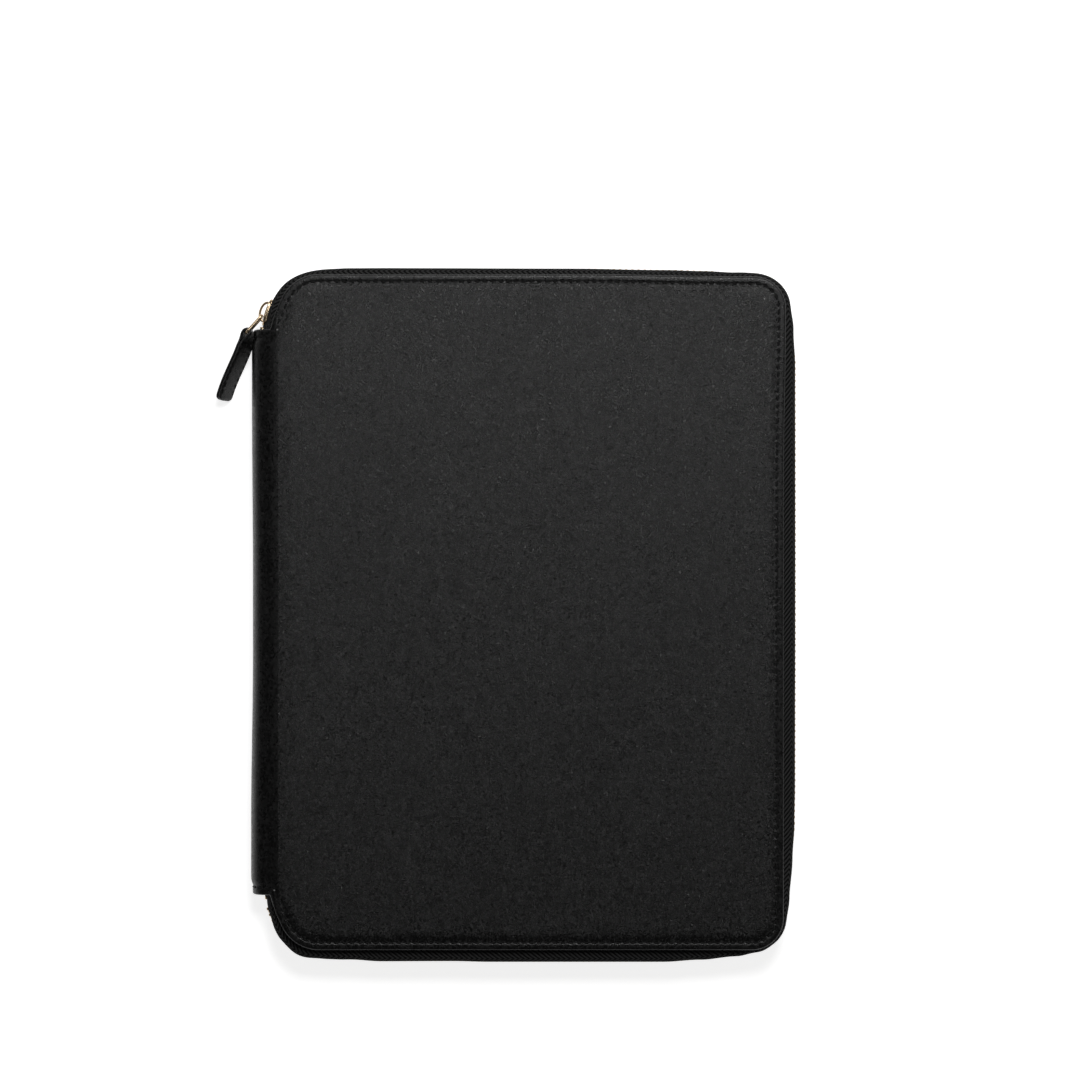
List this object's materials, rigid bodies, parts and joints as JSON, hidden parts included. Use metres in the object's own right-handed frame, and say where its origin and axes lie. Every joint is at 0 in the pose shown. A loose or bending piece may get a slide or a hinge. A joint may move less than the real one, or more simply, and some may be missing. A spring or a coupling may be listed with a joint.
{
  "type": "portfolio case",
  "caption": "Zip-around leather document portfolio with padded covers, rounded spine, metal zip with slider and leather pull tab, inside pockets and pen loop.",
  "frame": {"origin": "centre of the back cover's underside, on the surface the closed case lies on", "axes": "+X from the spine to the fore edge, +Y up the page towards the end where the closed zip stops, +Z from the back cover to the front cover"},
  "size_m": [0.2819, 0.3376, 0.024],
  "materials": {
    "leather": "fine pebble grain, low sheen",
    "spine_leather": "fine pebble grain, low sheen",
    "tab_leather": "smooth, low sheen",
    "lining": "fine twill, matt",
    "pocket_leather": "smooth, low sheen",
    "zip_tape": "herringbone weave, matt",
    "zip_metal": "polished pale gold",
    "foam": "matt",
    "board": "matt"
  },
  "bodies": {
    "back_cover": {"back_cover_leather": "leather", "back_foam": "foam", "back_board": "board", "back_lining": "lining", "pad_pocket": "pocket_leather", "pen_loop": "pocket_leather", "back_zip_tape": "zip_tape", "back_zip_teeth": "zip_metal"},
    "front_cover": {"front_cover_leather": "leather", "front_foam": "foam", "front_board": "board", "front_lining": "lining", "document_pocket": "pocket_leather", "card_pocket_1": "pocket_leather", "card_pocket_2": "pocket_leather", "card_pocket_3": "pocket_leather", "front_zip_tape": "zip_tape", "front_zip_teeth": "zip_metal"},
    "spine": {"spine_leather": "spine_leather", "spine_stiffener": "board", "spine_lining": "lining", "front_zip_tape_ends": "zip_tape", "back_zip_tape_ends": "zip_tape", "front_zip_teeth_ends": "zip_metal", "back_zip_teeth_ends": "zip_metal", "top_stops": "zip_metal", "bottom_stop": "zip_metal"},
    "zip_slider": {"slider_body": "zip_metal", "slider_crown": "zip_metal"},
    "link": {"pull_link": "zip_metal"},
    "tab": {"pull_tab": "tab_leather"}
  },
  "joints": [
    {"name": "spine_fold", "type": "hinge", "parent": "back_cover", "child": "spine", "pos_m": [-0.126, 0, 0.004], "axis": [0, -1, 0], "range_deg": [0, 90]},
    {"name": "front_cover_fold", "type": "hinge", "parent": "spine", "child": "front_cover", "pos_m": [-0.126, 0, 0.02], "axis": [0, -1, 0], "range_deg": [0, 90]},
    {"name": "slider_travel", "type": "hinge", "parent": "spine", "child": "zip_slider", "pos_m": [-0.093, 0.1376, 0.012], "axis": [0, 0, 1], "range_deg": [-60, 0]},
    {"name": "link_swing", "type": "hinge", "parent": "zip_slider", "child": "link", "pos_m": [-0.12587, 0.14525, 0.012], "axis": [0, 0, -1], "range_deg": [0, 150]},
    {"name": "tab_swing", "type": "hinge", "parent": "link", "child": "tab", "pos_m": [-0.133, 0.1372, 0.012], "axis": [0, 0, -1], "range_deg": [0, 40]}
  ],
  "couplings": [
    {"joint": "front_cover_fold", "follows": "spine_fold", "ratio": 1}
  ]
}
